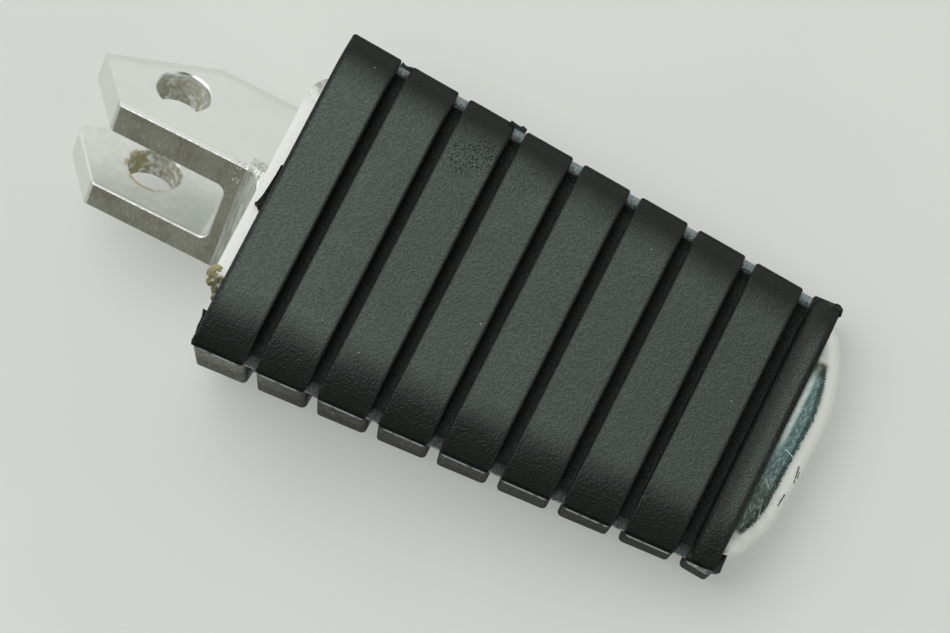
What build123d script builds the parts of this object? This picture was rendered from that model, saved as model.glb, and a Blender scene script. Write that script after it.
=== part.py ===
from build123d import *
from math import atan2, degrees, radians, tan
import os

# Motorcycle footpeg: a one-piece aluminium casting with a ribbed rubber tread over its bar.
# All lengths are in mm and all angles in degrees.
# The peg is drawn in a tread frame: X runs from the pivot to the outer end, Y across the tread,
# Z up, with z = 0 at the parting line of the rubber. The last step turns it to the attitude in
# which it rests on a level floor, with the middle of the pivot bore at the origin.

# Pivot clevis, in its own frame: x along the peg, v across the ears, w along the bore.
BORE_R = 4.1
BORE_EDGE = 0.25
TOP_EAR = 5.65
LOW_EAR = 4.75
GAP = 10.6
SLOT_ROOT_X = 12.1
SLOT_ROOT_R = 1.4
STOP_FACE_V = -8.95
FAR_FACE_V = 11.0
NEAR_END_X = -6.7
NOSE_X = -14.1
NOSE_V = 1.9
NOSE_R = 2.2
FAR_EDGE_ANGLE = 29.0
FAR_BEND_R = 4.2
FAR_EDGE_R = 3.8
NEAR_EDGE_R = 0.8
STOP_CHAMFER = 0.55
SLOT_EDGE = 0.25
CLEVIS_ROLL = 39.4
CLEVIS_Y = 1.05
CLEVIS_DROP = 12.3

# Flange between clevis and tread.
FLANGE_X = 16.75
TREAD_X = 18.6
FLANGE_HALF_W = 19.0
FLANGE_TOP = 1.2
FLANGE_BOTTOM = -26.0
FLANGE_CORNER_R = 5.0
FLANGE_END_RUN = 4.6
STOP_COVE_R = 2.4
ROOT_COVE_R = 1.0
COVE_OVERLAP = 0.05

# Bar inside the rubber.
BAR_HALF_W = 14.0
BAR_TOP = -3.0
BAR_BOTTOM_INNER = -17.5
BAR_BOTTOM_OUTER = -7.6
BAR_EDGE_R = 1.5
BAR_FIT = 0.05

# Rounded head at the outer end.
TREAD_LENGTH = 82.0
HEAD_REACH = 5.5
HEAD_HALF_W = 19.0
HEAD_TOP = 1.0
HEAD_BOTTOM = -8.4
HEAD_RIM_R = 3.0
HEAD_CORNER_R = 3.2
HEAD_CORNER_X = 0.9
HEAD_FLAT_NEAR_Y = -9.0
HEAD_FLAT_FAR_Y = 3.0
HEAD_NEAR_LEAN = 0.5

# Rubber tread.
TREAD_HALF_INNER = 26.1
TREAD_HALF_OUTER = 21.55
CROWN_H = 2.4
SHOULDER_W = 6.95
SKIRT_BOTTOM_INNER = -22.0
SKIRT_BOTTOM_OUTER = -10.5
SKIRT_R_INNER = 6.5
SKIRT_R_OUTER = 4.5
FIRST_RIB = 8.2
RIB = 7.86
GROOVE = 1.78
CROWN_INSET = 0.33
CROWN_SHIFT = 0.12
CROWN_CORNER_R = 1.1
CROWN_SINK = 1.5
SKIRT_CORNER_R = 1.1
FAR_CORNER_R = 0.5
GROOVE_FLOOR = -1.0
SIDE_GROOVE = 2.2
UNDER_GROOVE = 1.8
WEB_INSET = 0.5
WEB_REACH = 2.3
WEB_TOP = 0.1
WEB_BOTTOM = -0.25
RIB_TOP_R = 0.4
LAST_RIB_R = 2.1
LAST_RIB_FLARE = 0.6
LAST_RIB_MIN = 3.5

EPS = 0.01
BIG = 60.0

OUTER_X = TREAD_X + TREAD_LENGTH
SPAN = TOP_EAR + GAP + LOW_EAR
TOP_W = SPAN / 2
LOW_W = -SPAN / 2
GAP_TOP_W = TOP_W - TOP_EAR
GAP_LOW_W = LOW_W + LOW_EAR
FAR_BEND_X = NOSE_X + (FAR_FACE_V - NOSE_V) / tan(radians(FAR_EDGE_ANGLE))
REST_TILT = degrees(atan2(SKIRT_BOTTOM_OUTER - FLANGE_BOTTOM, TREAD_LENGTH))
CLEVIS = Pos(0, CLEVIS_Y, -CLEVIS_DROP) * Rot(-CLEVIS_ROLL, 0, 0)
TO_REST = Rot(0, REST_TILT, 0) * Pos(0, -CLEVIS_Y, CLEVIS_DROP)


def near(a, b, tol=0.02):
    return abs(a - b) < tol


def along(x, inner, outer):
    """Value at x of a size that changes evenly from the inner to the outer end of the rubber."""
    return inner + (outer - inner) * (x - TREAD_X) / TREAD_LENGTH


def tread_half(x):
    """Half the width of the rubber at x."""
    return along(x, TREAD_HALF_INNER, TREAD_HALF_OUTER)


def far_wall(point, angle):
    """Slab whose far side passes through a point and has both outer edges rounded."""
    slab = Pos(0, -BIG / 2, 0) * Box(3 * BIG, BIG, SPAN)
    rims = slab.edges().filter_by(Axis.X).filter_by(lambda e: near((e @ 0.5).Y, 0))
    slab = fillet(rims, FAR_EDGE_R)
    return Pos(point[0], point[1], 0) * Rot(0, 0, angle) * slab


def clevis_block():
    """Block of the two ears before the slot, seen along the bore as a bent plate."""
    end_x = TREAD_X - EPS
    outline = Polyline(
        (NEAR_END_X, STOP_FACE_V),
        (NOSE_X, NOSE_V),
        (FAR_BEND_X, FAR_FACE_V),
        (end_x, FAR_FACE_V),
        (end_x, STOP_FACE_V),
        close=True,
    )
    plan = make_face(outline)
    plan = fillet(plan.vertices().filter_by(lambda p: near(p.X, NOSE_X)), NOSE_R)
    plan = fillet(plan.vertices().filter_by(lambda p: near(p.X, FAR_BEND_X)), FAR_BEND_R)
    block = Pos(0, 0, LOW_W) * extrude(plan, SPAN)
    block = block & far_wall((NOSE_X, NOSE_V), FAR_EDGE_ANGLE)
    return block & far_wall((0, FAR_FACE_V), 0)


def clevis():
    """Two ears with slot, bore and machined stop face, in the clevis frame."""
    body = clevis_block()
    stop_edges = body.edges().filter_by(Axis.X)
    stop_edges = stop_edges.filter_by(lambda e: near((e @ 0.5).Y, STOP_FACE_V))
    body = chamfer(stop_edges, STOP_CHAMFER)
    near_edge = body.edges().filter_by(Axis.Z)
    near_edge = near_edge.filter_by(lambda e: near((e @ 0.5).X, NEAR_END_X))
    body = fillet(near_edge, NEAR_EDGE_R)
    slot_x = SLOT_ROOT_X - BIG / 2
    slot_w = (GAP_TOP_W + GAP_LOW_W) / 2
    slot = Pos(slot_x, 0, slot_w) * Box(BIG, BIG, GAP)
    roots = slot.edges().filter_by(Axis.Y).filter_by(lambda e: near((e @ 0.5).X, SLOT_ROOT_X))
    body = body - fillet(roots, SLOT_ROOT_R)
    slot_edges = body.edges().filter_by(Axis.X)
    slot_edges = slot_edges.filter_by(lambda e: near((e @ 0.5).Y, STOP_FACE_V))
    slot_edges = slot_edges.filter_by(lambda e: near(abs((e @ 0.5).Z - slot_w), GAP / 2))
    body = chamfer(slot_edges, SLOT_EDGE)
    bore = Cylinder(BORE_R, BIG)
    body = body - bore
    rims = body.edges().filter_by(GeomType.CIRCLE).filter_by(lambda e: near(e.radius, BORE_R))
    rims = rims.filter_by(lambda e: near(e.arc_center.X, 0) and near(e.arc_center.Y, 0))
    return chamfer(rims, BORE_EDGE)


def cove(radius, length):
    """Concave fillet strip for an inside corner, along Z, filling the corner at the origin."""
    block = Pos(-radius / 2, -radius / 2, 0) * Box(radius, radius, length)
    return block - Pos(-radius, -radius, 0) * Cylinder(radius, 2 * length)


def root_coves():
    """Concave fillets from the clevis faces to the flange, in the clevis frame."""
    middle_v = (STOP_FACE_V + FAR_FACE_V) / 2
    depth_v = FAR_FACE_V - STOP_FACE_V
    corner_x = FLANGE_X + COVE_OVERLAP
    root_r = ROOT_COVE_R + COVE_OVERLAP
    stop = Pos(corner_x, STOP_FACE_V + COVE_OVERLAP, 0) * cove(STOP_COVE_R + COVE_OVERLAP, SPAN)
    far = Pos(corner_x, FAR_FACE_V - COVE_OVERLAP, 0) * Rot(180, 0, 0)
    far = far * cove(root_r, SPAN - 2 * FAR_EDGE_R)
    low = Pos(corner_x, middle_v, LOW_W + COVE_OVERLAP) * Rot(90, 0, 0)
    low = low * cove(root_r, depth_v - 2 * FAR_EDGE_R)
    return stop + far + low


def flange_plate():
    """Plate behind the rubber, with rounded corners and ends that run out in plan."""
    middle_z = (FLANGE_TOP + FLANGE_BOTTOM) / 2
    height = FLANGE_TOP - FLANGE_BOTTOM
    front = Plane.YZ * RectangleRounded(2 * FLANGE_HALF_W, height, FLANGE_CORNER_R)
    plate = Pos(FLANGE_X, 0, middle_z) * extrude(front, TREAD_X - FLANGE_X)
    start_y = FLANGE_HALF_W - FLANGE_END_RUN
    plan = make_face([
        Line((FLANGE_X, -start_y), (FLANGE_X, start_y)),
        TangentArc((FLANGE_X, start_y), (TREAD_X, FLANGE_HALF_W), tangent=(0, 1)),
        Line((TREAD_X, FLANGE_HALF_W), (TREAD_X, -FLANGE_HALF_W)),
        TangentArc((FLANGE_X, -start_y), (TREAD_X, -FLANGE_HALF_W), tangent=(0, -1)),
    ])
    return plate & (Pos(0, 0, -BIG) * extrude(plan, 2 * BIG))


def flange_shadow():
    """Space in front of the flange, used to trim the coves to its outline."""
    middle_z = (FLANGE_TOP + FLANGE_BOTTOM) / 2
    height = FLANGE_TOP - FLANGE_BOTTOM
    front = Plane.YZ * RectangleRounded(2 * FLANGE_HALF_W, height, FLANGE_CORNER_R)
    return Pos(0, 0, middle_z) * extrude(front, TREAD_X - EPS)


def bar(grow=0.0):
    """Tapered bar inside the rubber, or its cavity when grown by a clearance."""
    side = Polyline(
        (TREAD_X - EPS, BAR_TOP + grow),
        (OUTER_X + EPS, BAR_TOP + grow),
        (OUTER_X + EPS, BAR_BOTTOM_OUTER - grow),
        (TREAD_X - EPS, BAR_BOTTOM_INNER - grow),
        close=True,
    )
    solid = extrude(make_face(Plane.XZ * side), BAR_HALF_W + grow, both=True)
    long_edges = solid.edges().filter_by(lambda e: abs(e.tangent_at(0.5).X) > 0.9)
    return fillet(long_edges, BAR_EDGE_R + grow)


def head():
    """Rounded end of the casting, outside the rubber."""
    tip_x = OUTER_X + HEAD_REACH
    back_x = OUTER_X - 2 * HEAD_REACH
    far_corner = (OUTER_X + HEAD_CORNER_X, HEAD_HALF_W)
    near_corner = (OUTER_X + HEAD_CORNER_X, -HEAD_HALF_W)
    far_flat = (tip_x, HEAD_FLAT_FAR_Y)
    near_flat = (tip_x - HEAD_NEAR_LEAN, HEAD_FLAT_NEAR_Y)
    lean = (near_flat[0] - far_flat[0], near_flat[1] - far_flat[1])
    plan = make_face([
        Line((back_x, -HEAD_HALF_W), near_corner),
        TangentArc(near_flat, near_corner, tangent=lean),
        Line(near_flat, far_flat),
        TangentArc(far_flat, far_corner, tangent=(-lean[0], -lean[1])),
        Line(far_corner, (back_x, HEAD_HALF_W)),
        Line((back_x, HEAD_HALF_W), (back_x, -HEAD_HALF_W)),
    ])
    block = Pos(0, 0, HEAD_BOTTOM) * extrude(plan, HEAD_TOP - HEAD_BOTTOM)
    corners = block.edges().filter_by(Axis.Z).filter_by(lambda e: near((e @ 0.5).X, far_corner[0]))
    block = fillet(corners, HEAD_CORNER_R)
    rims = block.edges().filter_by(lambda e: near((e @ 0.5).Z, HEAD_TOP) or near((e @ 0.5).Z, HEAD_BOTTOM))
    rims = rims.filter_by(lambda e: (e @ 0.5).X > back_x + EPS)
    block = fillet(rims, HEAD_RIM_R)
    return block & (Pos(OUTER_X + BIG / 2, 0, 0) * Box(BIG, BIG, BIG))


def rib_spans():
    """Start and end of each rib along X. The last rib takes what is left of the length."""
    spans = [(TREAD_X, TREAD_X + FIRST_RIB)]
    while spans[-1][1] + GROOVE + LAST_RIB_MIN < OUTER_X:
        start = spans[-1][1] + GROOVE
        spans.append((start, start + RIB))
    spans[-1] = (spans[-1][0], OUTER_X)
    return spans


def crown_lines(half, top, shoulder_w):
    """Top of a cross-section: flat in the middle, then an arc down to z = 0 at each side."""
    flat = half - shoulder_w
    return [
        TangentArc((-flat, top), (-half, 0), tangent=(-1, 0)),
        Line((-flat, top), (flat, top)),
        TangentArc((flat, top), (half, 0), tangent=(1, 0)),
    ]


def skirt_lines(half, bottom, corner_r):
    """Upright sides of a cross-section below z = 0, rounded into its flat bottom."""
    return [
        Line((half, 0), (half, bottom + corner_r)),
        TangentArc((half, bottom + corner_r), (half - corner_r, bottom), tangent=(0, -1)),
        Line((half - corner_r, bottom), (-half + corner_r, bottom)),
        TangentArc((-half, bottom + corner_r), (-half + corner_r, bottom), tangent=(0, -1)),
        Line((-half, bottom + corner_r), (-half, 0)),
    ]


def across(x, lines):
    """Cross-section of the rubber at x."""
    return Pos(x, 0, 0) * (Plane.YZ * make_face(lines))


def crown_section(x, half):
    """Cross-section of a rib above the parting line, with what sinks into the skirt below it."""
    walls = Polyline((half, 0), (half, -CROWN_SINK), (-half, -CROWN_SINK), (-half, 0))
    return across(x, crown_lines(half, CROWN_H, SHOULDER_W) + [walls])


def skirt_section(x, half):
    """Cross-section of a rib below the parting line."""
    bottom = along(x, SKIRT_BOTTOM_INNER, SKIRT_BOTTOM_OUTER)
    corner_r = along(x, SKIRT_R_INNER, SKIRT_R_OUTER)
    return across(x, [Line((-half, 0), (half, 0))] + skirt_lines(half, bottom, corner_r))


def groove_section(x):
    """Cross-section of the rubber inside the grooves."""
    half = tread_half(x) - SIDE_GROOVE
    bottom = along(x, SKIRT_BOTTOM_INNER, SKIRT_BOTTOM_OUTER) + UNDER_GROOVE
    corner_r = along(x, SKIRT_R_INNER, SKIRT_R_OUTER) - UNDER_GROOVE
    return across(x, crown_lines(half, GROOVE_FLOOR, SIDE_GROOVE) + skirt_lines(half, bottom, corner_r))


def tread_plan(start, end, inset, flare=0.0):
    """Outline of the rubber from above between two X positions, as a face."""
    half_start = tread_half(start) - inset
    half_end = tread_half(end) - inset + flare
    return make_face(Polyline(
        (start, -half_start),
        (end, -half_end),
        (end, half_end),
        (start, half_start),
        close=True,
    ))


def post(start, end, inset, corner_r, flare):
    """Upright post round a rib, a hair larger in plan than the rib, with its corners rounded."""
    plan = tread_plan(start - EPS, end + EPS, inset - EPS, flare)
    plan = fillet(plan.vertices().filter_by(lambda p: p.Y < 0), corner_r)
    far_corners = plan.vertices().filter_by(lambda p: p.Y > 0)
    return Pos(0, 0, -BIG) * extrude(fillet(far_corners, FAR_CORNER_R), 2 * BIG)


def crown(start, end, start_r, flare):
    """Crowned top of a rib: the rims at both ends are rounded along their whole outline."""
    first = crown_section(start, tread_half(start) - CROWN_INSET)
    last = crown_section(end, tread_half(end) - CROWN_INSET + flare)
    body = loft([first, last], ruled=True)
    for rim_x, radius in ((start, start_r), (end, RIB_TOP_R)):
        rim = body.edges().filter_by(lambda e: near((e @ 0).X, rim_x) and near((e @ 1).X, rim_x))
        body = fillet(rim.filter_by(lambda e: (e @ 0.5).Z > EPS), radius)
    return body & post(start, end, CROWN_INSET, CROWN_CORNER_R, flare)


def skirt(start, end, flare):
    """Lower part of a rib, a little wider than its crown."""
    first = skirt_section(start, tread_half(start))
    last = skirt_section(end, tread_half(end) + flare)
    return loft([first, last], ruled=True) & post(start, end, 0, SKIRT_CORNER_R, flare)


def rib(start, end, start_r, flare=0.0):
    """One rib round the rubber. Its crown sits a hair towards the far side of its skirt."""
    return skirt(start, end, flare) + Pos(0, CROWN_SHIFT, 0) * crown(start, end, start_r, flare)


def webs(start, end):
    """Thin webs that close the grooves at the parting line, along both sides of the rubber."""
    strips = tread_plan(start, end, WEB_INSET) - tread_plan(start - EPS, end + EPS, WEB_REACH)
    return Pos(0, 0, WEB_BOTTOM) * extrude(strips, WEB_TOP - WEB_BOTTOM)


def rubber():
    """Rubber sleeve with its ribs, the webs of its grooves and the cavity for the bar."""
    spans = rib_spans()
    last_start, last_end = spans[-1]
    inside = loft([groove_section(TREAD_X), groove_section(OUTER_X)], ruled=True)
    body = inside + webs(TREAD_X + FIRST_RIB / 2, last_start + EPS)
    for start, end in spans[:-1]:
        body = body + rib(start, end, RIB_TOP_R)
    body = body + rib(last_start, last_end, LAST_RIB_R, LAST_RIB_FLARE)
    return body - bar(BAR_FIT)


def casting():
    """Clevis, flange, bar and head as one piece of aluminium."""
    coves = (CLEVIS * root_coves()) & flange_shadow()
    return CLEVIS * clevis() + coves + flange_plate() + bar() + head()


os.makedirs("parts", exist_ok=True)
export_step(TO_REST * casting(), "parts/peg_core.step")
export_step(TO_REST * rubber(), "parts/rubber_sleeve.step")
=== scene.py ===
import math

import bmesh
import bpy
from bpy.props import FloatProperty, FloatVectorProperty, PointerProperty
from bpy.types import Operator, Panel, PropertyGroup
from mathutils import Euler, Matrix, Vector, noise


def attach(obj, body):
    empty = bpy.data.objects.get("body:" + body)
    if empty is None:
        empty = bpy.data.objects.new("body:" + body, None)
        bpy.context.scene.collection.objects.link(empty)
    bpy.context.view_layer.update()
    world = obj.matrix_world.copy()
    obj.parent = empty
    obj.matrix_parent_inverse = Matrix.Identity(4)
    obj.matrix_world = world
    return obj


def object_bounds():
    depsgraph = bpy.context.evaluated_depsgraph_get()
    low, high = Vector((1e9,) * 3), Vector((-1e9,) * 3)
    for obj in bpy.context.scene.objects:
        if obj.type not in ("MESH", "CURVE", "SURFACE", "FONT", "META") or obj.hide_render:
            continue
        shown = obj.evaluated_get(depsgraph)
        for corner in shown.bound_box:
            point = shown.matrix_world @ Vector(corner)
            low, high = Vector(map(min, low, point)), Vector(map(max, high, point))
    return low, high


bl_info = {
    "name": "Ribbed Footpeg",
    "version": (1, 0, 0),
    "blender": (4, 5, 0),
    "location": "3D View > Sidebar > Footpeg",
    "description": "Finishes, torn rubber, dried mud and a plain studio for a ribbed motorcycle footpeg",
    "category": "Object",
}

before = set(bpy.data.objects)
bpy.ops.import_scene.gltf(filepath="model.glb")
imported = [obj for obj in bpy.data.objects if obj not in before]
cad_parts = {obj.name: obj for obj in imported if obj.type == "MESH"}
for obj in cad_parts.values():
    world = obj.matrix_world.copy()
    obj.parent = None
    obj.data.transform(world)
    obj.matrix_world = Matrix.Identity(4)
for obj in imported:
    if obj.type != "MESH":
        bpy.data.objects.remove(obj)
CAD_LOW, CAD_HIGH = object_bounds()

MM = 0.001

# The tread lies tilted about Y, and the clevis is rolled about the length of the peg.
TREAD_TILT = math.atan2(15.5, 82.0)
CLEVIS_ROLL = math.radians(39.4)
TREAD_SHIFT = Vector((0.0, 1.05, -12.3))

# Tread frame, in mm: x along the peg, y across it, z up from the parting line.
TREAD_START = 18.6
TREAD_LENGTH = 82.0
HALF_INNER = 26.1
HALF_OUTER = 21.55
CROWN = 2.4
FIRST_GROOVE = 26.8
GROOVE = 1.78
RIB_PITCH = 9.64
LAST_RIB = FIRST_GROOVE + 7 * RIB_PITCH + GROOVE
WEB_REACH = 2.3
WEB_TOP = 0.1
WEB_BOTTOM = -0.25
FLANGE_START = 16.75
HEAD_START = TREAD_START + TREAD_LENGTH

# Clevis frame, in mm: x along the peg, v across the ears, w along the bore.
STOP_FACE_V = -8.95
STOP_END_X = 14.3
LOWER_EAR_FACE_W = -5.75
UPPER_EAR_FACE_W = 4.85
TOP_FACE_W = 10.5
BORE_R = 4.1

# Camera, solved from the photograph's straight edges: place in metres, turn in degrees, lens in mm.
CAMERA_PLACE = (0.1679364, -0.0941883, 0.5012924)
CAMERA_TURN = (14.6034, 6.9291, 26.8115)
CAMERA_LENS = 135.754

# Stage, in metres: half the floor's side, and the place of the lamp from the middle of the peg.
FLOOR_HALF = 2.0
PEG_MIDDLE = Vector((0.045, 0.0, 0.0))
LAMP_OFFSET = 0.8 * Vector((-0.33, 0.15, 0.93))


def linear(code):
    """Linear colour of an sRGB hex value such as "#d7dad5"."""
    parts = [int(code[i:i + 2], 16) / 255 for i in (1, 3, 5)]
    return [c / 12.92 if c <= 0.04045 else ((c + 0.055) / 1.055) ** 2.4 for c in parts] + [1.0]


def colour(name, description, code):
    """Colour property with an sRGB hex default."""
    return FloatVectorProperty(
        name=name, description=description, subtype="COLOR", size=4, min=0.0, max=1.0, default=linear(code))


def length(name, description, millimetres):
    """Length property, kept in metres."""
    return FloatProperty(
        name=name, description=description, default=millimetres * MM, min=0.0, unit="LENGTH", precision=5)


def level(name, description, default):
    """Plain number property."""
    return FloatProperty(name=name, description=description, default=default, min=0.0)


class TreadRubberSettings(PropertyGroup):
    top: colour("Rib tops", "Rubber of the rib tops, greyed by boots", "#37433e")
    shoulder: colour("Shoulders", "Blacker rubber of the sloping rib ends", "#121614")
    # The groove colour is partly painted shade: the floors are darker than the tops because little light
    # reaches them.
    groove: colour("Grooves", "Rubber in the grooves, which boots hardly reach", "#232927")
    skirt: colour("Skirt", "Dusty rubber of the upright sides below the parting line", "#37362f")
    web: colour("Webs", "Rubbed rubber of the thin webs that close the grooves", "#8f9b9e")
    # The parting-line colour is a painted highlight along the ledge's edge.
    line: colour("Parting line", "Rubbed rim along the parting line", "#8f9592")
    dust: colour("Dust", "Loose pale specks", "#c9cdc9")
    pebble: length("Pebble size", "Width of one pebble of the moulded grain", 0.36)
    pebble_depth: length("Pebble depth", "Height of the moulded grain", 0.09)


class AlloySettings(PropertyGroup):
    alloy: colour("Alloy", "Bare aluminium of the ears and the head", "#e9ebe8")
    # The stop face is laid much greyer than the skin, as a painted reflection of the dark wall in front.
    machined_shaded: colour("Stop face", "Milled stop face, greyed by rubbing on its bracket", "#a9a798")
    cove: colour("Cove", "Cast surface beside the flange", "#b9c0b6")
    edge: colour("Flange edge", "Rough pale edge of the flange", "#e6e7e4")
    grime: colour("Grime", "Olive dirt in the bores", "#b4b091")
    stain: colour("Stain", "Yellow-brown stain round the lower bore", "#b3aa78")
    brush: length("Brush spacing", "Distance between the lines of the milled face", 0.28)


class TornRubberSettings(PropertyGroup):
    thickness: length("Thickness", "Thickness of the torn lip and tags", 0.35)
    curl: length("Curl", "How far a free edge stands up", 0.3)


class DriedMudSettings(PropertyGroup):
    # The darker near side of the clump is painted shade.
    mud: colour("Mud", "Dried yellow-brown mud", "#b8b389")
    dark: colour("Damp mud", "Darker near side of the clump", "#6d6850")
    crumb: length("Crumb size", "Width of the crumbs on the mud's surface", 0.5)


class StudioSettings(PropertyGroup):
    floor: colour("Floor", "Plain pale floor", "#d9dbd6")
    glow: level("Floor glow", "Share of the floor's brightness that comes from below", 0.4)
    sky: colour("Surroundings", "Colour of the room round the peg", "#f4f6f1")
    walls: level("Walls", "Brightness of the pale walls", 0.9)
    ceiling: level("Ceiling", "Brightness of the dark part of the ceiling", 0.06)
    front: level("Front", "Brightness of the dark wall in front of the peg", 0.15)
    lamp_power: FloatProperty(
        name="Softbox power", description="Power of the soft lamp over the hinge end", default=3.0, min=0.0,
        unit="POWER")
    lamp_size: length("Softbox size", "Side of the square softbox", 750.0)


def add(tree, kind, inputs=None, output=0, **settings):
    """Adds one node with its settings, fills or links its inputs, and returns one of its outputs."""
    made = tree.nodes.new("ShaderNode" + kind)
    for name, value in settings.items():
        setattr(made, name, value)
    for socket, value in (inputs or {}).items():
        if isinstance(value, bpy.types.NodeSocket):
            tree.links.new(value, made.inputs[socket])
        else:
            made.inputs[socket].default_value = value
    return made.outputs[output] if len(made.outputs) else made


def mask(tree, *parts):
    """Product of masks. A part (value, zero, one) is a smooth step from 0 at one value to 1 at the other."""
    result = None
    for part in parts:
        if isinstance(part, tuple):
            value, zero, one = part
            part = add(
                tree, "MapRange", {"Value": value, "From Min": zero, "From Max": one},
                interpolation_type="SMOOTHSTEP")
        result = part if result is None else add(tree, "Math", {0: result, 1: part}, operation="MULTIPLY")
    return result


def layered(tree, base, *layers):
    """A colour or a number with others laid over it in turn, each as (mask, value)."""
    number = isinstance(base, (int, float))
    result = base
    for share, value in layers:
        if number:
            result = add(tree, "Mix", {0: share, 2: result, 3: value}, data_type="FLOAT")
        else:
            result = add(tree, "Mix", {0: share, 6: result, 7: value}, output=2, data_type="RGBA")
    return result


def patches(tree, point, size, low=0.0, high=1.0, detail=2.0, stretch=(1.0, 1.0, 1.0)):
    """Mask of soft random patches about size mm wide, sharper as low and high come together."""
    scaled = add(tree, "VectorMath", {0: point, 1: [1.0 / (size * s) for s in stretch]}, operation="MULTIPLY")
    cloud = add(tree, "TexNoise", {"Vector": scaled, "Scale": 1.0, "Detail": detail})
    return mask(tree, (cloud, low, high))


def specks(tree, point, spacing, radius, share):
    """Mask of round specks of one radius in mm, in a share of cells that are spacing mm wide."""
    distance = add(tree, "TexVoronoi", {"Vector": point, "Scale": 1.0 / spacing})
    lot = add(tree, "SeparateColor", {"Color": distance.node.outputs["Color"]})
    return mask(tree, (distance, radius / spacing, 0.6 * radius / spacing), (lot, share, 0.98 * share))


def streak(tree, point, start, end, width):
    """Mask of a thin straight mark between two points, in mm."""
    start, end = Vector(start), Vector(end)
    offset = add(tree, "VectorMath", {0: point, 1: start}, operation="SUBTRACT")
    reach = add(
        tree, "VectorMath", {0: offset, 1: (end - start) / (end - start).length_squared}, output=1,
        operation="DOT_PRODUCT")
    inside = add(tree, "Clamp", {"Value": reach})
    foot = add(tree, "VectorMath", {0: end - start, "Scale": inside}, operation="SCALE")
    distance = add(tree, "VectorMath", {0: offset, 1: foot}, output=1, operation="DISTANCE")
    return mask(tree, (distance, 0.5 * width, 0.2 * width))


def relief(tree, shader, *heights):
    """Bump from height patterns between 0 and 1, each as (pattern, depth in mm)."""
    total = 0.0
    for pattern, depth in heights:
        total = add(tree, "Math", {0: pattern, 1: depth, 2: total}, operation="MULTIPLY_ADD")
    normal = add(tree, "Bump", {"Height": total, "Distance": MM})
    tree.links.new(normal, shader.inputs["Normal"])


def new_material(name):
    """Empty material with a Principled surface; returns it with its tree and shader."""
    material = bpy.data.materials.new(name)
    material.use_nodes = True
    tree = material.node_tree
    tree.nodes.clear()
    surface = add(tree, "BsdfPrincipled")
    add(tree, "OutputMaterial", {"Surface": surface})
    return material, tree, surface.node


def frame_point(tree, turn, shift):
    """The surface point in a frame of the peg, in mm, with its three coordinates."""
    point = add(tree, "Mapping", {
        "Vector": add(tree, "TexCoord", output="Object"),
        "Location": shift,
        "Rotation": turn.to_euler("XYZ"),
        "Scale": (1000.0, 1000.0, 1000.0),
    })
    return point, add(tree, "SeparateXYZ", {"Vector": point}).node.outputs


def tread_point(tree):
    """The surface point in the tread frame."""
    return frame_point(tree, Matrix.Rotation(-TREAD_TILT, 3, "Y"), TREAD_SHIFT)


def clevis_point(tree):
    """The surface point in the clevis frame."""
    turn = Matrix.Rotation(CLEVIS_ROLL, 3, "X") @ Matrix.Rotation(-TREAD_TILT, 3, "Y")
    return frame_point(tree, turn, Vector())


def edge_distance(tree, x, y):
    """Distance in mm from the rubber's side edge, measured in plan."""
    taper = (HALF_INNER - HALF_OUTER) / TREAD_LENGTH
    half = add(
        tree, "Math", {0: x, 1: -taper, 2: HALF_INNER + taper * TREAD_START}, operation="MULTIPLY_ADD")
    across = add(tree, "Math", {0: y}, operation="ABSOLUTE")
    return add(tree, "Math", {0: half, 1: across}, operation="SUBTRACT")


def worn_shaded_tops(tree, settings, point, x, pebble, speckle):
    """Colour of the rib tops: greyed by boots in slow blotches, pebble by pebble, with painted light that
    makes them lighter at the hinge end and darker outwards.
    """
    return layered(
        tree, settings.top, (patches(tree, point, 9.0, 0.45, 0.75), linear("#424e49")),
        (patches(tree, point, 3.0, 0.5, 0.8), linear("#303935")),
        # Painted light: the tops are laid darker towards the outer end and lighter towards the hinge end.
        (mask(tree, (x, 55.0, 95.0), 0.9), linear("#27302c")),
        (mask(tree, (x, 45.0, 20.0), 0.7), linear("#48554f")),
        (mask(tree, speckle, 0.6), linear("#59655f")),
        (mask(tree, (pebble, 0.5, 0.2), 0.35), linear("#1c221f")))


def dusty_shaded_sides(tree, settings, point, place, mottle, speckle):
    """Colour of the upright sides: dusty, with streaks down from the parting line, darker towards the bottom,
    and lighter at the innermost rib and darker outwards, partly dust and partly painted light on the high
    inner blocks and painted shade on the outer ones near the floor.
    """
    x, y, z = place
    runs = patches(tree, point, 0.9, 0.35, 0.7, stretch=(1.0, 1.0, 4.0))
    grit = patches(tree, point, 0.3, 0.48, 0.62, detail=2.0)
    return layered(
        # Painted light and shade along the peg, with dust: lighter at the hinge end, darker outwards.
        tree, settings.skirt, (mask(tree, (x, 55.0, 80.0)), linear("#22221e")),
        (mask(tree, (x, 38.0, 25.0)), linear("#b0b1a3")),
        (mask(tree, runs, (x, 15.0, 45.0), 0.8), linear("#1d1d19")),
        (mask(tree, mottle, (x, 90.0, 40.0), (y, 22.0, -10.0), 0.9), linear("#74746a")),
        (mask(tree, grit, (x, 110.0, 20.0), 0.8), linear("#1c1c18")),
        (mask(tree, speckle, 0.4), linear("#0f0f0d")),
        (mask(tree, (z, -4.0, -9.0), 0.5), linear("#0f0f0d")))


def web_colour_with_shade(tree, settings, point, edge, near_side, fine):
    """Colour of the webs in the grooves: pale on the far side; on the near side darkened as painted shade,
    with a thin painted highlight along their lip.
    """
    lip = mask(tree, near_side, (edge, 0.72, 0.6), patches(tree, point, 1.0, 0.35, 0.5))
    return layered(
        tree, settings.web, (mask(tree, fine, 0.7), linear("#4b5152")),
        (mask(tree, near_side, 0.9), linear("#2b302f")), (lip, linear("#7f8886")))


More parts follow.
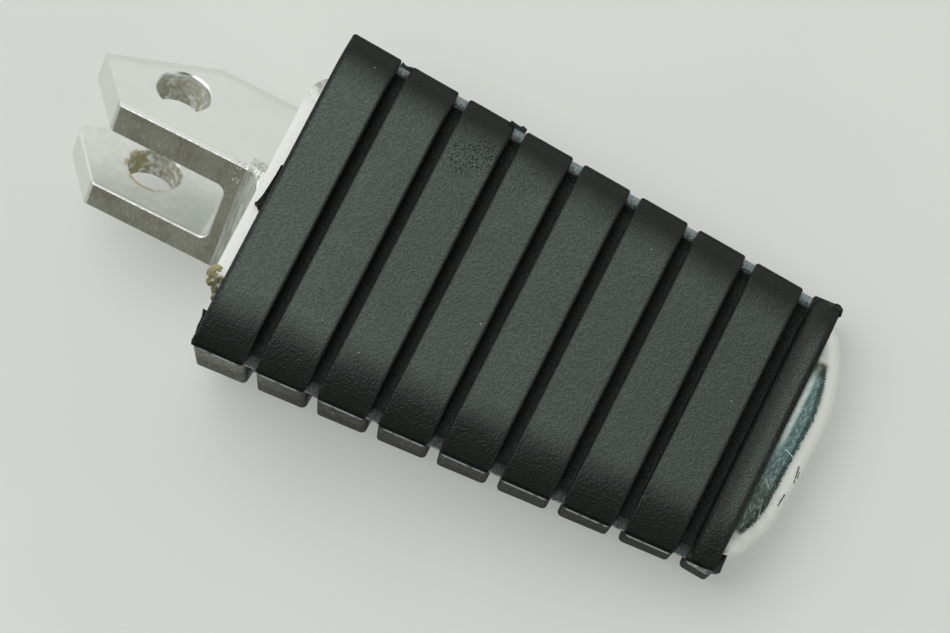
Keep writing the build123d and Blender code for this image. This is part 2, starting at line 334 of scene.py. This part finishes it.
def pit_clusters(tree, point, z):
    """Mask of the small pits at the far end of the third rib, with a few on the fourth."""
    third = streak(tree, point, (41.4, 16.2, CROWN), (43.4, 17.8, CROWN), 8.0)
    fourth = mask(tree, streak(tree, point, (50.6, 16.2, CROWN), (51.6, 17.2, CROWN), 6.0), 0.5)
    cluster = add(tree, "Math", {0: third, 1: fourth}, operation="MAXIMUM")
    return mask(tree, specks(tree, point, 0.36, 0.15, 0.85), (z, 1.5, 1.9), cluster)


def tread_rubber_material(settings):
    """Compression-moulded black rubber: pebbled greyed tops, smooth black shoulders, dusty upright sides."""
    material, tree, shader = new_material("moulded_black_rubber")
    point, (x, y, z) = tread_point(tree)
    edge = edge_distance(tree, x, y)
    wander = patches(tree, point, 7.0)
    fine = patches(tree, point, 0.5, detail=3.0)
    near_side = mask(tree, (y, 5.0, -5.0))
    far_side = mask(tree, (y, -5.0, 5.0))

    # Place along the pitch of the ribs, measured from the start of a groove.
    margin = 0.1
    pitch = add(tree, "Math", {0: x, 1: margin - FIRST_GROOVE}, operation="ADD")
    pitch = add(tree, "Math", {0: pitch, 1: RIB_PITCH}, operation="FLOORED_MODULO")
    groove = mask(
        tree, (x, FIRST_GROOVE - 0.4, FIRST_GROOVE - 0.2), (pitch, 0.0, margin),
        (pitch, GROOVE + 2 * margin, GROOVE + margin))

    # Boots grey the rib tops but not the shoulders. The grey is kept off the rib edges, which stay black as
    # painted shade along them, and on the near side the black reaches 2.5 mm further in, as painted shade
    # there.
    reach = add(tree, "Math", {0: wander, 1: 1.5, 2: edge}, operation="MULTIPLY_ADD")
    reach = add(tree, "Math", {0: far_side, 1: 2.5, 2: reach}, operation="MULTIPLY_ADD")
    inner = mask(
        tree, (pitch, GROOVE + margin, GROOVE + 0.7), (pitch, RIB_PITCH, RIB_PITCH - 0.6),
        (x, HEAD_START - 0.6, HEAD_START - 1.1))
    flat = mask(tree, (z, 0.8, 2.0), (reach, 5.0, 12.0), inner)
    # Painted shade: the rounded start of the last rib is laid darker.
    rise_shade = mask(tree, (x, LAST_RIB - 0.56, LAST_RIB - 0.06), (x, LAST_RIB + 2.84, LAST_RIB + 1.34), 0.8)
    skirt = mask(tree, (z, -0.05, -0.2), (edge, 1.6, 1.2))
    parting = mask(tree, (z, WEB_BOTTOM - 0.1, WEB_BOTTOM), (z, WEB_TOP + 0.15, WEB_TOP + 0.02))
    # The groove floors are laid darker than the tops, partly unworn rubber and partly painted shade in the
    # grooves.
    deep_groove_shade = mask(tree, groove, (z, 2.1, 0.9))

    pebble = patches(tree, point, settings.pebble / MM, 0.3, 0.7, detail=1.0)
    speckle = patches(tree, point, 0.17, 0.35, 0.65, detail=1.0)
    mottle = patches(tree, point, 0.7, 0.45, 0.6, detail=4.0)
    # The far shoulders are a shade lighter as painted light from the far side, and more olive.
    shoulders_far_lit = layered(tree, settings.shoulder, (far_side, linear("#171a16")))
    surface = layered(
        tree, shoulders_far_lit, (flat, worn_shaded_tops(tree, settings, point, x, pebble, speckle)), (rise_shade, linear("#121614")),
        (deep_groove_shade, settings.groove), (skirt, dusty_shaded_sides(tree, settings, point, (x, y, z), mottle, speckle)))

    # Each rib's foot is a narrow ledge, with a painted shade line in the crease above it on the near side and
    # a thin painted highlight along its edge.
    ledge = mask(tree, (z, -0.15, -0.05), (z, 0.5, 0.2))
    crease_shade = mask(tree, ledge, near_side, (edge, 0.8, 0.5), (edge, 0.16, 0.26))
    rim = mask(tree, ledge, (edge, 0.26, 0.12), patches(tree, point, 1.5, 0.3, 0.55))
    rim_highlight_colour = layered(tree, settings.line, (far_side, linear("#34352e")))
    surface = layered(tree, surface, (crease_shade, linear("#0b0c0c")), (rim, rim_highlight_colour))

    ragged = add(tree, "Math", {0: fine, 1: 1.2, 2: edge}, operation="MULTIPLY_ADD")
    web = mask(tree, parting, groove, (ragged, WEB_REACH + 0.5, WEB_REACH - 0.6))
    pitted = pit_clusters(tree, point, z)
    dust = mask(tree, specks(tree, point, 3.4, 0.1, 0.3), (z, -0.4, 0.0))
    surface = layered(
        tree, surface, (web, web_colour_with_shade(tree, settings, point, edge, near_side, fine)),
        (mask(tree, pitted, 0.85), linear("#0e110f")), (dust, settings.dust))
    tree.links.new(surface, shader.inputs["Base Color"])

    gloss = layered(tree, 0.4, (flat, 0.55), (skirt, 0.7), (dust, 0.9))
    tree.links.new(gloss, shader.inputs["Roughness"])
    sheen = layered(
        tree, 0.33, (far_side, 0.2), (flat, 0.5), (rise_shade, 0.3), (skirt, 0.3), (deep_groove_shade, 0.25), (crease_shade, 0.1),
        (pitted, 0.15))
    tree.links.new(sheen, shader.inputs["Specular IOR Level"])

    grain = mask(tree, pebble, layered(tree, 0.7, (flat, 1.0)))
    relief(
        tree, shader, (grain, settings.pebble_depth / MM), (pitted, -0.06), (mask(tree, skirt, mottle), 0.08),
        (patches(tree, point, 2.5), 0.03))
    return material


def milled_colour(tree, settings, clevis, peened):
    """Colour of the stop face: greyed unevenly, with a few paler scratches along the bore."""
    scratches = patches(tree, clevis, 0.15, 0.55, 0.68, detail=1.0, stretch=(1.0, 10.0, 10.0))
    return layered(
        tree, settings.machined_shaded,
        (patches(tree, clevis, 0.28, 0.4, 0.7, stretch=(1.0, 9.0, 9.0)), linear("#9b9a8d")),
        (patches(tree, clevis, 5.0, 0.4, 0.65), linear("#b3b3a6")),
        (mask(tree, scratches, 0.6), linear("#d8d8d0")), (peened, linear("#f2f2ee")))


def bore_grime(tree, clevis, place):
    """Masks of the mottled dirt in the bores and of the stain on two sides of the lower one."""
    cx, v, w = place
    across = add(tree, "CombineXYZ", {0: cx, 1: v})
    radius = add(tree, "VectorMath", {0: across}, output=1, operation="LENGTH")
    bore = mask(tree, (radius, BORE_R + 0.3, BORE_R + 0.05))
    smear = mask(
        tree, patches(tree, clevis, 0.8, 0.3, 0.7, detail=3.0), (w, TOP_FACE_W - 0.6, TOP_FACE_W - 0.9))
    two_sides = add(tree, "VectorMath", {0: clevis, 1: (1.0, 0.7, 0.0)}, output=1, operation="DOT_PRODUCT")
    halo = mask(
        tree, (radius, 5.1, 4.5), (w, LOWER_EAR_FACE_W + 0.4, LOWER_EAR_FACE_W + 0.1), (two_sides, 2.0, -2.0),
        patches(tree, clevis, 1.6, 0.35, 0.55, detail=3.0))
    return mask(tree, bore, smear), halo


# Scratches and dark marks on the head, in the tread's plan and in mm: two ends, colour and width.
HEAD_MARKS = (
    ((105.0, -2.0), (105.4, -4.3), "#4a4a46", 0.35), ((105.4, -2.6), (105.6, -3.4), "#55554f", 0.3),
    ((104.9, -6.6), (104.7, -8.4), "#3f403c", 0.35), ((101.9, -0.6), (103.4, -1.2), "#f5f6f4", 0.22),
    ((101.4, -5.8), (102.5, -7.0), "#e6e8e6", 0.18), ((102.4, -9.0), (102.9, -11.5), "#c3c7c6", 0.14),
)


def marked(tree, surface, place, fine):
    """The head's marks laid over a colour; also gives the mask of them all."""
    x, y, z = place
    plan = add(tree, "CombineXYZ", {0: x, 1: y})
    dull = 0.0
    for start, end, code, width in HEAD_MARKS:
        line = streak(tree, plan, (*start, 0.0), (*end, 0.0), width)
        mark = mask(tree, line, (fine, 0.25, 0.45), (z, -3.0, -2.0))
        surface = layered(tree, surface, (mark, linear(code)))
        dull = add(tree, "Math", {0: dull, 1: mark}, operation="MAXIMUM")
    return surface, dull


def mirror_band(tree, tread, place, head):
    """Masks of the head's flat top, which is rubbed to a mirror with a ragged edge, and its colour, a painted
    reflection: dark teal, darker on the near half, with lighter streaks and a painted highlight next to the
    rubber.
    """
    x, y, z = place
    hair = patches(tree, tread, 0.2, 0.3, 0.7, detail=3.0, stretch=(1.5, 1.0, 1.0))
    streaky = patches(tree, tread, 0.3, 0.35, 0.75, detail=4.0, stretch=(1.0, 2.5, 1.0))
    worn_rim = add(tree, "Math", {0: hair, 1: 0.1, 2: z}, operation="MULTIPLY_ADD")
    band = mask(tree, head, (worn_rim, 0.9, 0.98), (y, 13.4, 12.6), (y, -15.2, -14.2))
    # Painted highlight: a pale streak on the band next to the rubber.
    painted_shine = mask(
        tree, band, (x, 101.9, 101.2), (y, -3.0, 3.0), (y, 12.5, 9.0), layered(tree, 0.9, (streaky, 0.4)))
    band_reflection = layered(
        tree, linear("#9cc4c1"), (mask(tree, (y, 0.0, -10.0)), linear("#7f9084")),
        (mask(tree, streaky, 0.35), linear("#dfecea")), (painted_shine, linear("#f0f4f2")))
    return band, streaky, painted_shine, band_reflection


def alloy_material(settings):
    """Die-cast aluminium: pale satin skin, a milled stop face, a bright rubbed head, dirty bores."""
    material, tree, shader = new_material("cast_aluminium_skin")
    tread, (x, y, z) = tread_point(tree)
    clevis, (cx, v, w) = clevis_point(tree)
    fine = patches(tree, tread, 0.45, detail=3.0)
    coarse = patches(tree, tread, 1.3, detail=3.0)

    stop = mask(tree, (v, STOP_FACE_V + 0.04, STOP_FACE_V + 0.01), (cx, STOP_END_X, STOP_END_X - 0.4))
    cove = mask(
        tree, (cx, STOP_END_X - 0.3, STOP_END_X), (cx, FLANGE_START + 0.02, FLANGE_START - 0.03),
        (v, -6.0, -6.8))
    flange = mask(
        tree, (x, FLANGE_START - 0.1, FLANGE_START + 0.02), (x, TREAD_START + 0.4, TREAD_START + 0.1))
    head = mask(tree, (x, HEAD_START - 1.6, HEAD_START - 0.6))
    slot = mask(
        tree, (w, LOWER_EAR_FACE_W - 0.1, LOWER_EAR_FACE_W + 0.05),
        (w, UPPER_EAR_FACE_W + 0.1, UPPER_EAR_FACE_W))

    # The skin has faint clouds, and is a little greener and more mottled inside the slot.
    surface = layered(
        tree, settings.alloy, (patches(tree, tread, 6.0, 0.4, 0.7), linear("#e6e8e4")),
        (mask(tree, slot, patches(tree, clevis, 1.3, 0.35, 0.65, detail=4.0)), linear("#dce1dc")))

    # The stop face has a peened patch at its root, and its chamfered ridge is nicked.
    rough_zone = mask(
        tree, (cx, 11.6, 12.8), (w, 3.0, 5.5), (v, STOP_FACE_V + 0.9, STOP_FACE_V + 0.4), (x, 16.6, 16.3))
    peened = mask(tree, rough_zone, specks(tree, clevis, 0.5, 0.19, 0.8))
    nicked = add(tree, "Math", {0: fine, 1: -0.3, 2: v}, operation="MULTIPLY_ADD")
    ridge = mask(
        tree, (nicked, STOP_FACE_V - 0.12, STOP_FACE_V - 0.04), (v, STOP_FACE_V + 0.7, STOP_FACE_V + 0.6),
        (cx, FLANGE_START - 0.3, STOP_END_X))
    surface = layered(
        tree, surface, (ridge, linear("#d3d5d2")), (stop, milled_colour(tree, settings, clevis, peened)))

    runs = patches(tree, clevis, 0.5, 0.35, 0.65, stretch=(1.0, 1.0, 8.0))
    dirty_end = mask(tree, (y, 12.0, 18.0), patches(tree, tread, 1.2, 0.45, 0.6))
    surface = layered(
        tree, surface, (cove, layered(tree, settings.cove, (runs, linear("#dfe2dc")))),
        (flange, layered(tree, settings.edge, (mask(tree, dirty_end, 0.7), linear("#a9ab9f")))))

    dirt, halo = bore_grime(tree, clevis, (cx, v, w))
    grime = layered(tree, settings.grime, (mask(tree, fine, 0.6), linear("#76725a")))
    surface = layered(
        tree, surface, (mask(tree, dirt, 0.85), grime), (mask(tree, halo, 0.8), settings.stain))

    surface, dull = marked(tree, surface, (x, y, z), fine)
    # The head's band is laid in a painted reflection, with a painted highlight next to the rubber.
    band, streaky, painted_shine, band_reflection = mirror_band(tree, tread, (x, y, z), head)
    tint = mask(tree, head, (y, 10.6, 11.4), (y, 13.6, 12.8), (x, 103.0, 102.2), coarse)
    surface = layered(tree, surface, (band, band_reflection), (tint, linear("#8a7f60")))
    tree.links.new(surface, shader.inputs["Base Color"])

    # Bare metal everywhere but under dirt and marks.
    cover = add(tree, "Math", {0: dirt, 1: halo}, operation="MAXIMUM")
    cover = add(tree, "Math", {0: cover, 1: dull}, operation="MAXIMUM")
    tree.links.new(layered(tree, 1.0, (cover, 0.15)), shader.inputs["Metallic"])
    head_gloss = layered(tree, 0.5, (band, layered(tree, 0.22, (streaky, 0.3), (painted_shine, 0.5))))
    gloss = layered(
        tree, 0.3, (mask(tree, slot, coarse), 0.4), (stop, 0.42), (cove, 0.45), (flange, 0.6),
        (head, head_gloss), (ridge, 0.55), (cover, 0.75))
    tree.links.new(gloss, shader.inputs["Roughness"])

    # Lines of the milling cutter run along the bore, and the head's band keeps faint streaks.
    lines = patches(tree, clevis, settings.brush / MM, stretch=(1.0, 30.0, 30.0))
    relief(
        tree, shader, (mask(tree, stop, lines), 0.02), (mask(tree, patches(tree, tread, 0.25), 0.5), 0.008),
        (mask(tree, head, coarse), 0.006), (mask(tree, band, streaky), 0.003),
        (mask(tree, cove, runs), 0.04), (peened, -0.05), (mask(tree, flange, fine), 0.02))
    return material


def mud_material(settings):
    """Dried mud: dull, crumbly and yellow-brown, with its near side darkened as painted shade and a painted
    highlight along one curve.
    """
    material, tree, shader = new_material("dried_mud")
    point, (_, y, _) = tread_point(tree)
    size = settings.crumb / MM
    crumb = patches(tree, point, size, 0.35, 0.65, detail=4.0)
    surface = layered(
        tree, settings.mud, (mask(tree, (y, -14.9, -15.9)), settings.dark), (crumb, linear("#8e8866")),
        (patches(tree, point, 0.4 * size, 0.6, 0.7), linear("#c9c6ae")))
    # A painted highlight along a curve of the clump.
    root = streak(tree, point, (17.2, -16.3, 0.9), (18.0, -14.9, 1.2), 0.5)
    surface = layered(tree, surface, (root, linear("#d6d4c2")))
    tree.links.new(surface, shader.inputs["Base Color"])
    shader.inputs["Roughness"].default_value = 0.9
    relief(tree, shader, (crumb, 0.15), (patches(tree, point, 0.3 * size), 0.06))
    return material


def floor_material(settings):
    """Matt light table: one pale colour that wanders by a shade, with a glow that keeps shadows pale."""
    material, tree, shader = new_material("matt_light_table")
    point = add(tree, "TexCoord", output="Object")
    drift = patches(tree, point, 0.07, 0.3, 0.7, detail=3.0)
    pale = layered(tree, settings.floor, (drift, linear("#d5d8d3")))
    tree.links.new(layered(tree, pale, (settings.glow, linear("#000000"))), shader.inputs["Base Color"])
    tree.links.new(pale, shader.inputs["Emission Color"])
    shader.inputs["Emission Strength"].default_value = settings.glow
    shader.inputs["Roughness"].default_value = 0.6
    return material


def tread_to_part(point):
    """A point of the tread frame, in mm, as a point of the part, in metres."""
    return Matrix.Rotation(TREAD_TILT, 3, "Y") @ (Vector(point) - TREAD_SHIFT) * MM


def finished(name, bm, material):
    """Object at the origin from a bmesh in the part's frame, with outward faces."""
    bmesh.ops.recalc_face_normals(bm, faces=bm.faces)
    mesh = bpy.data.meshes.new(name)
    bm.to_mesh(mesh)
    bm.free()
    mesh.materials.append(material)
    piece = bpy.data.objects.new(name, mesh)
    bpy.context.scene.collection.objects.link(piece)
    return piece


# Torn rubber in the tread's plan, in mm: height of the flap's underside, points along its free edge,
# and points where it joins the rubber. Only the free edge curls up.
TORN_FLAPS = (
    (1.25, ((18.32, 3.2), (18.28, 1.5), (18.1, -0.5), (17.95, -2.1), (17.7, -3.1), (17.45, -3.35),
            (17.55, -3.75), (18.0, -3.8), (18.35, -4.2)), ((18.9, -4.3), (18.9, 3.6))),
    (-0.2, ((17.81, -20.52), (18.16, -21.5), (18.24, -22.28), (18.25, -23.13), (18.5, -24.37),
            (18.45, -25.28), (18.6, -25.8), (18.8, -26.0)), ((19.4, -25.6), (19.4, -20.5))),
    (-0.2, ((28.6, 25.4), (28.2, 25.15), (27.6, 25.1), (27.0, 25.4)), ((26.9, 24.6), (28.7, 24.5))),
    (-0.2, ((47.72, 24.65), (47.06, 24.9), (46.67, 24.6), (45.95, 24.7), (45.09, 24.85)),
     ((45.0, 24.0), (47.8, 23.9))),
    (-0.2, ((101.35, -18.3), (101.4, -19.9), (101.5, -21.0), (101.0, -21.5), (99.7, -21.9)),
     ((99.4, -20.6), (100.5, -18.4))),
    (-0.2, ((99.45, 22.1), (100.1, 22.1), (100.75, 21.66), (100.9, 20.63)), ((100.4, 20.2), (99.2, 21.2))),
)


def torn_flap(bm, height, free, joined, thickness, curl):
    """One thin torn flap whose free edge stands up."""
    corners = [bm.verts.new(tread_to_part((px, py, height + curl))) for px, py in free]
    corners += [bm.verts.new(tread_to_part((px, py, height))) for px, py in joined]
    flap = bm.faces.new(corners)
    grown = bmesh.ops.extrude_face_region(bm, geom=[flap])
    top = [item for item in grown["geom"] if isinstance(item, bmesh.types.BMVert)]
    bmesh.ops.translate(bm, verts=top, vec=tread_to_part((0, 0, thickness)) - tread_to_part((0, 0, 0)))
    sheet = [item for item in grown["geom"] if isinstance(item, bmesh.types.BMFace)] + [flap]
    bmesh.ops.triangulate(bm, faces=sheet)


# Lumps of dried mud on the flange's near end, in the tread frame and in mm: middle, then half sizes.
MUD_LUMPS = (
    ((17.2, -14.2, 0.9), (0.9, 0.7, 0.4)),
    ((16.8, -15.1, 0.7), (0.9, 0.9, 0.45)),
    ((17.6, -15.6, 0.7), (0.9, 0.9, 0.5)),
    ((17.2, -16.4, 0.3), (0.8, 0.7, 0.55)),
    ((18.0, -17.1, 0.1), (0.5, 0.6, 0.4)),
    ((18.3, -18.4, 0.0), (0.3, 0.4, 0.3)),
)


def mud_lump(bm, middle, half_sizes):
    """One lump, roughened crumb by crumb."""
    made = bmesh.ops.create_icosphere(bm, subdivisions=4, radius=1.0)
    for vert in made["verts"]:
        place = vert.co.copy()
        lumpy = 0.35 * noise.noise(place * 1.3 + Vector(middle))
        crumbly = 0.12 * noise.noise(place * 5.0 + Vector(middle))
        swell = 1.0 + lumpy + crumbly
        local = Vector(a * b * swell for a, b in zip(place, half_sizes))
        vert.co = tread_to_part(Vector(middle) + local)


class FOOTPEG_OT_tread_rubber(Operator):
    """Give the rubber tread its moulded grain, dusty sides and rubbed webs"""
    bl_idname = "footpeg.tread_rubber"
    bl_label = "Rubber Tread"

    def execute(self, context):
        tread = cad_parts["rubber_sleeve"]
        tread.material_slots[0].material = tread_rubber_material(context.scene.footpeg_rubber)
        return {"FINISHED"}


class FOOTPEG_OT_casting(Operator):
    """Give the casting its skin, milled face, bright head and dirty bores"""
    bl_idname = "footpeg.casting"
    bl_label = "Casting"

    def execute(self, context):
        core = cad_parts["peg_core"]
        core.material_slots[0].material = alloy_material(context.scene.footpeg_alloy)
        return {"FINISHED"}


class FOOTPEG_OT_torn_rubber(Operator):
    """Add the torn lip and the tags of rubber at the edges of the tread"""
    bl_idname = "footpeg.torn_rubber"
    bl_label = "Torn Rubber"

    def execute(self, context):
        settings = context.scene.footpeg_torn
        bm = bmesh.new()
        for height, free, joined in TORN_FLAPS:
            torn_flap(bm, height, free, joined, settings.thickness / MM, settings.curl / MM)
        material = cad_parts["rubber_sleeve"].material_slots[0].material
        piece = finished("torn_rubber", bm, material)
        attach(piece, "root")
        return {"FINISHED"}


class FOOTPEG_OT_dried_mud(Operator):
    """Add the clump of dried mud on the near end of the flange"""
    bl_idname = "footpeg.dried_mud"
    bl_label = "Dried Mud"

    def execute(self, context):
        bm = bmesh.new()
        for middle, half_sizes in MUD_LUMPS:
            mud_lump(bm, middle, half_sizes)
        piece = finished("dried_mud", bm, mud_material(context.scene.footpeg_mud))
        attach(piece, "root")
        return {"FINISHED"}


def room(tree, settings):
    """Brightness of the room by direction: pale walls, a dark ceiling and a dark wall in front of the peg."""
    direction = add(tree, "TexCoord", output="Generated")
    # Middle of each dark part, and the angles from it at which it starts to end and ends.
    parts = (
        ((0.42, 0.12, 0.9), 20.0, 32.0, settings.ceiling),
        ((-0.04, -1.0, 0.3), 35.0, 60.0, settings.front),
    )
    result = settings.walls
    for middle, inner, outer, brightness in parts:
        facing = add(
            tree, "VectorMath", {0: direction, 1: Vector(middle).normalized()}, output=1,
            operation="DOT_PRODUCT")
        shade = mask(tree, (facing, math.cos(math.radians(outer)), math.cos(math.radians(inner))))
        result = add(tree, "Mix", {0: shade, 2: result, 3: brightness}, data_type="FLOAT")
    return result


class FOOTPEG_OT_studio(Operator):
    """Add the pale floor, the soft light and the camera"""
    bl_idname = "footpeg.studio"
    bl_label = "Studio"

    def execute(self, context):
        settings = context.scene.footpeg_studio
        bm = bmesh.new()
        bmesh.ops.create_grid(bm, x_segments=1, y_segments=1, size=FLOOR_HALF)
        bmesh.ops.translate(bm, verts=bm.verts, vec=(PEG_MIDDLE.x, 0.0, CAD_LOW.z))
        floor = finished("floor", bm, floor_material(settings))

        world = bpy.data.worlds.new("plain_room")
        context.scene.world = world
        world.use_nodes = True
        tree = world.node_tree
        tree.nodes.clear()
        back = add(tree, "Background", {"Color": settings.sky, "Strength": room(tree, settings)})
        add(tree, "OutputWorld", {"Surface": back})

        lamp = bpy.data.lights.new("softbox", "AREA")
        lamp.shape = "SQUARE"
        lamp.size = settings.lamp_size
        lamp.energy = settings.lamp_power
        softbox = bpy.data.objects.new("softbox", lamp)
        context.scene.collection.objects.link(softbox)
        softbox.location = PEG_MIDDLE + LAMP_OFFSET
        softbox.rotation_euler = (PEG_MIDDLE - softbox.location).to_track_quat("-Z", "Y").to_euler()

        lens = bpy.data.cameras.new("camera")
        lens.lens = CAMERA_LENS
        lens.sensor_width = 36.0
        lens.sensor_fit = "HORIZONTAL"
        lens.clip_start = 0.01
        camera = bpy.data.objects.new("camera", lens)
        context.scene.collection.objects.link(camera)
        camera.location = CAMERA_PLACE
        camera.rotation_euler = Euler([math.radians(a) for a in CAMERA_TURN], "XYZ")
        context.scene.camera = camera
        context.scene.view_settings.view_transform = "Standard"
        return {"FINISHED"}


class FOOTPEG_PT_panel(Panel):
    """Lists the footpeg's pieces with their sizes and colours"""
    bl_idname = "FOOTPEG_PT_panel"
    bl_label = "Ribbed Footpeg"
    bl_space_type = "VIEW_3D"
    bl_region_type = "UI"
    bl_category = "Footpeg"

    def draw(self, context):
        for operator, group, _ in STEPS:
            box = self.layout.box()
            box.operator(operator.bl_idname)
            settings = getattr(context.scene, group)
            for name in settings.__annotations__:
                box.prop(settings, name)


# Each step of the scene: its operator, the name of its settings on the scene, and their class.
STEPS = (
    (FOOTPEG_OT_tread_rubber, "footpeg_rubber", TreadRubberSettings),
    (FOOTPEG_OT_casting, "footpeg_alloy", AlloySettings),
    (FOOTPEG_OT_torn_rubber, "footpeg_torn", TornRubberSettings),
    (FOOTPEG_OT_dried_mud, "footpeg_mud", DriedMudSettings),
    (FOOTPEG_OT_studio, "footpeg_studio", StudioSettings),
)


def register():
    for operator, group, settings in STEPS:
        bpy.utils.register_class(settings)
        setattr(bpy.types.Scene, group, PointerProperty(type=settings))
        bpy.utils.register_class(operator)
    bpy.utils.register_class(FOOTPEG_PT_panel)


def unregister():
    bpy.utils.unregister_class(FOOTPEG_PT_panel)
    for operator, group, settings in reversed(STEPS):
        bpy.utils.unregister_class(operator)
        delattr(bpy.types.Scene, group)
        bpy.utils.unregister_class(settings)


def main():
    register()
    bpy.ops.footpeg.tread_rubber()
    bpy.ops.footpeg.casting()
    bpy.ops.footpeg.torn_rubber()
    bpy.ops.footpeg.dried_mud()
    bpy.ops.footpeg.studio()


if __name__ == "__main__":
    main()
